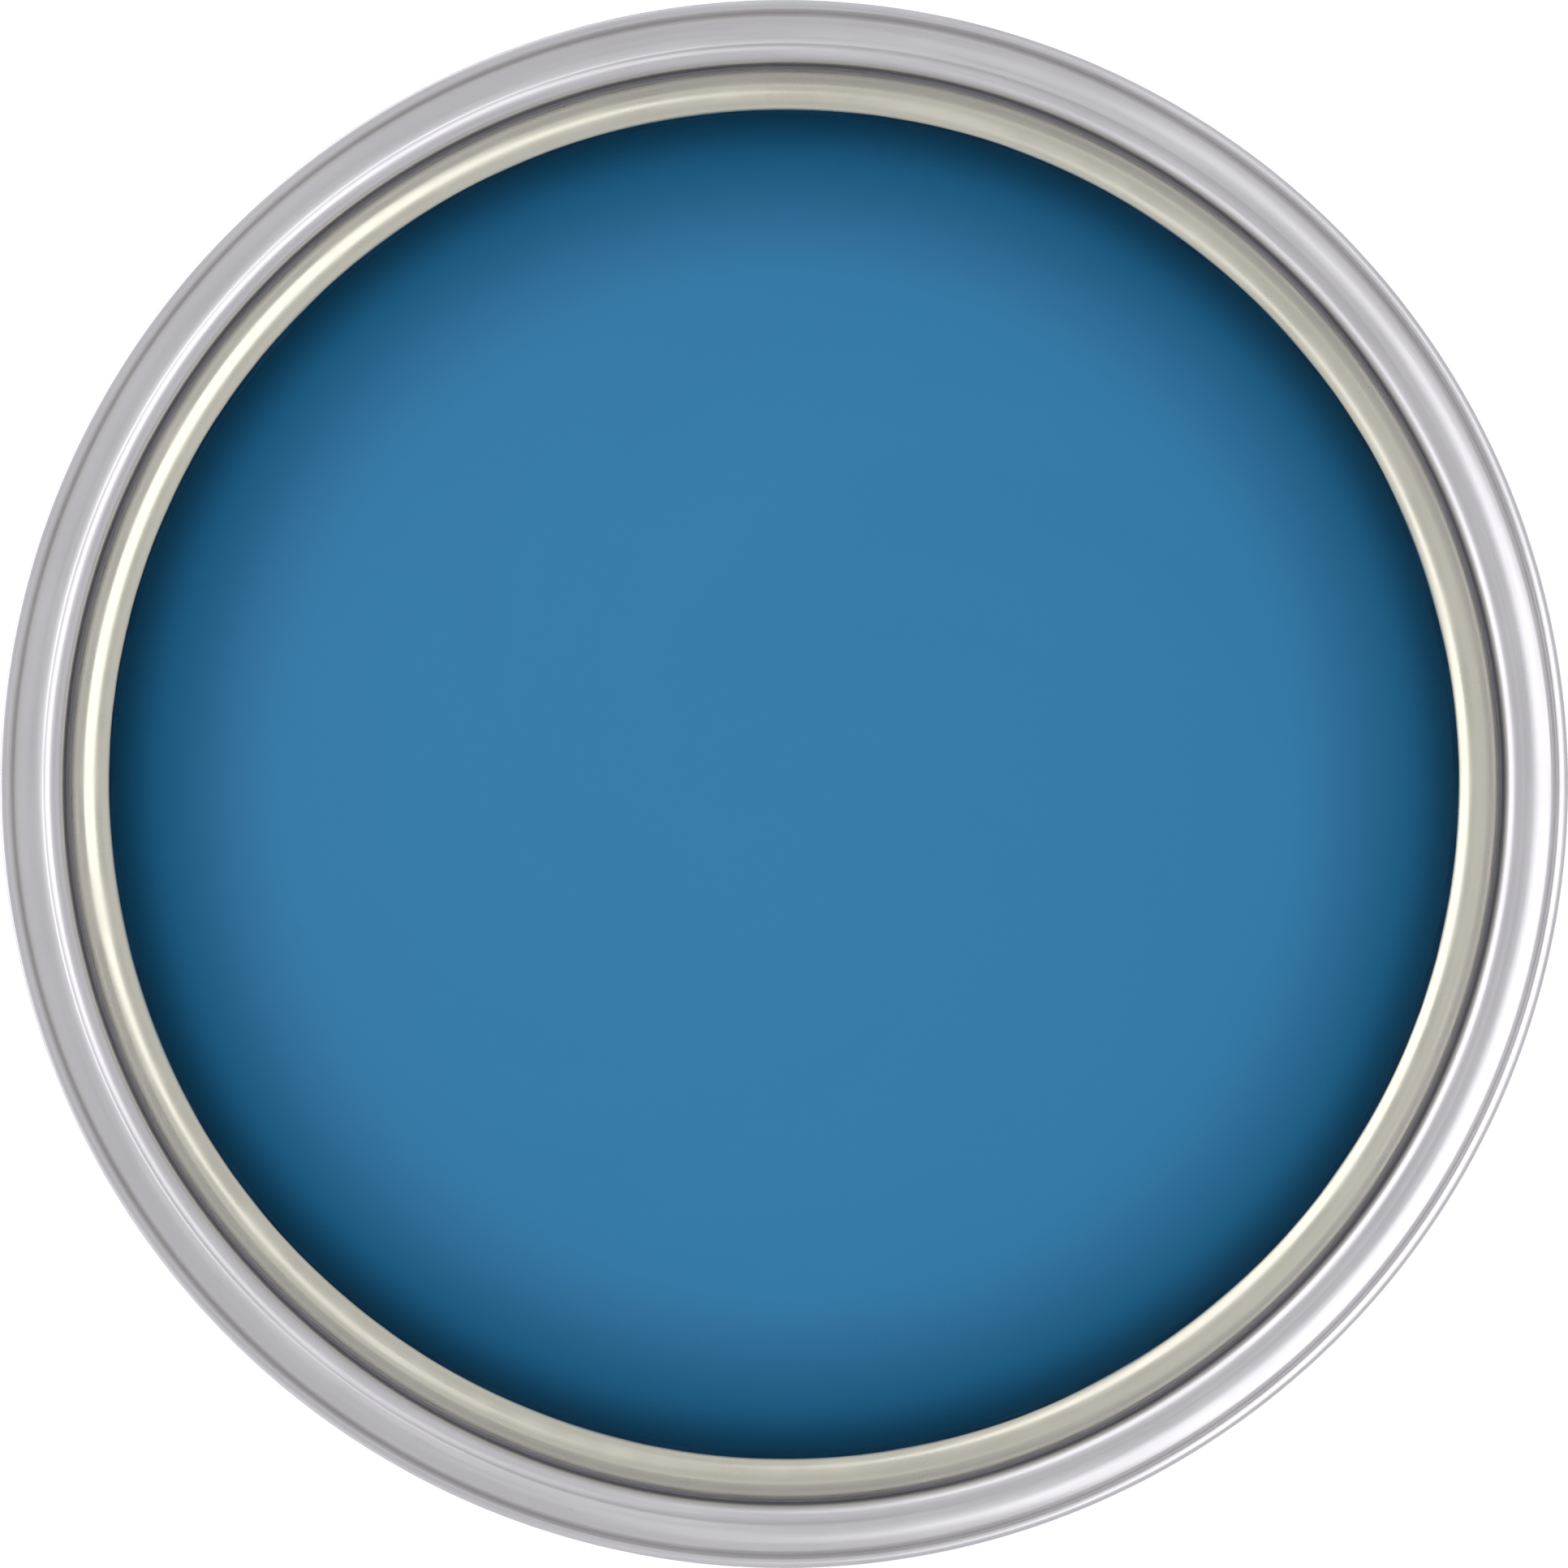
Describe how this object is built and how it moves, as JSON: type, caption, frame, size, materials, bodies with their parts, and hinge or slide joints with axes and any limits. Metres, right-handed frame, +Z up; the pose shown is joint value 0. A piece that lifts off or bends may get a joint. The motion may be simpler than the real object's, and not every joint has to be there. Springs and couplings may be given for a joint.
{
  "type": "paint tin",
  "caption": "Open round metal paint tin full of blue paint, with a lever-lid ring, rolled seams, a plain paper label and a swinging wire bail handle.",
  "frame": {"origin": "middle of the circle that the tin stands on, at ground level", "axes": "+Z up along the tin's axis; the bail's two ears are on the X axis; the bail hangs on the -Y side"},
  "size_m": [0.1832, 0.1726, 0.146],
  "materials": {
    "tinplate": "bright drawn tinplate, satin to glossy",
    "cream_lacquer": "glossy cream lacquer on the product side of the tinplate",
    "sealing_compound": "matte",
    "label_paper": "uncoated, with one plain blue band",
    "blue_paint": "wet satin emulsion",
    "galvanised_wire": "dull galvanised"
  },
  "bodies": {
    "tin": {"body_shell": "tinplate", "bottom_end": "tinplate", "lever_ring": "tinplate", "bottom_seam_compound": "sealing_compound", "top_seam_compound": "sealing_compound", "paper_label": "label_paper", "paint_fill": "blue_paint", "right_ear": "tinplate", "left_ear": "tinplate"},
    "bail": {"bail": "galvanised_wire"}
  },
  "joints": [
    {"name": "bail_swing", "type": "hinge", "parent": "tin", "child": "bail", "pos_m": [0, 0, 0.114], "axis": [-1, 0, 0], "range_deg": [0, 259]}
  ]
}
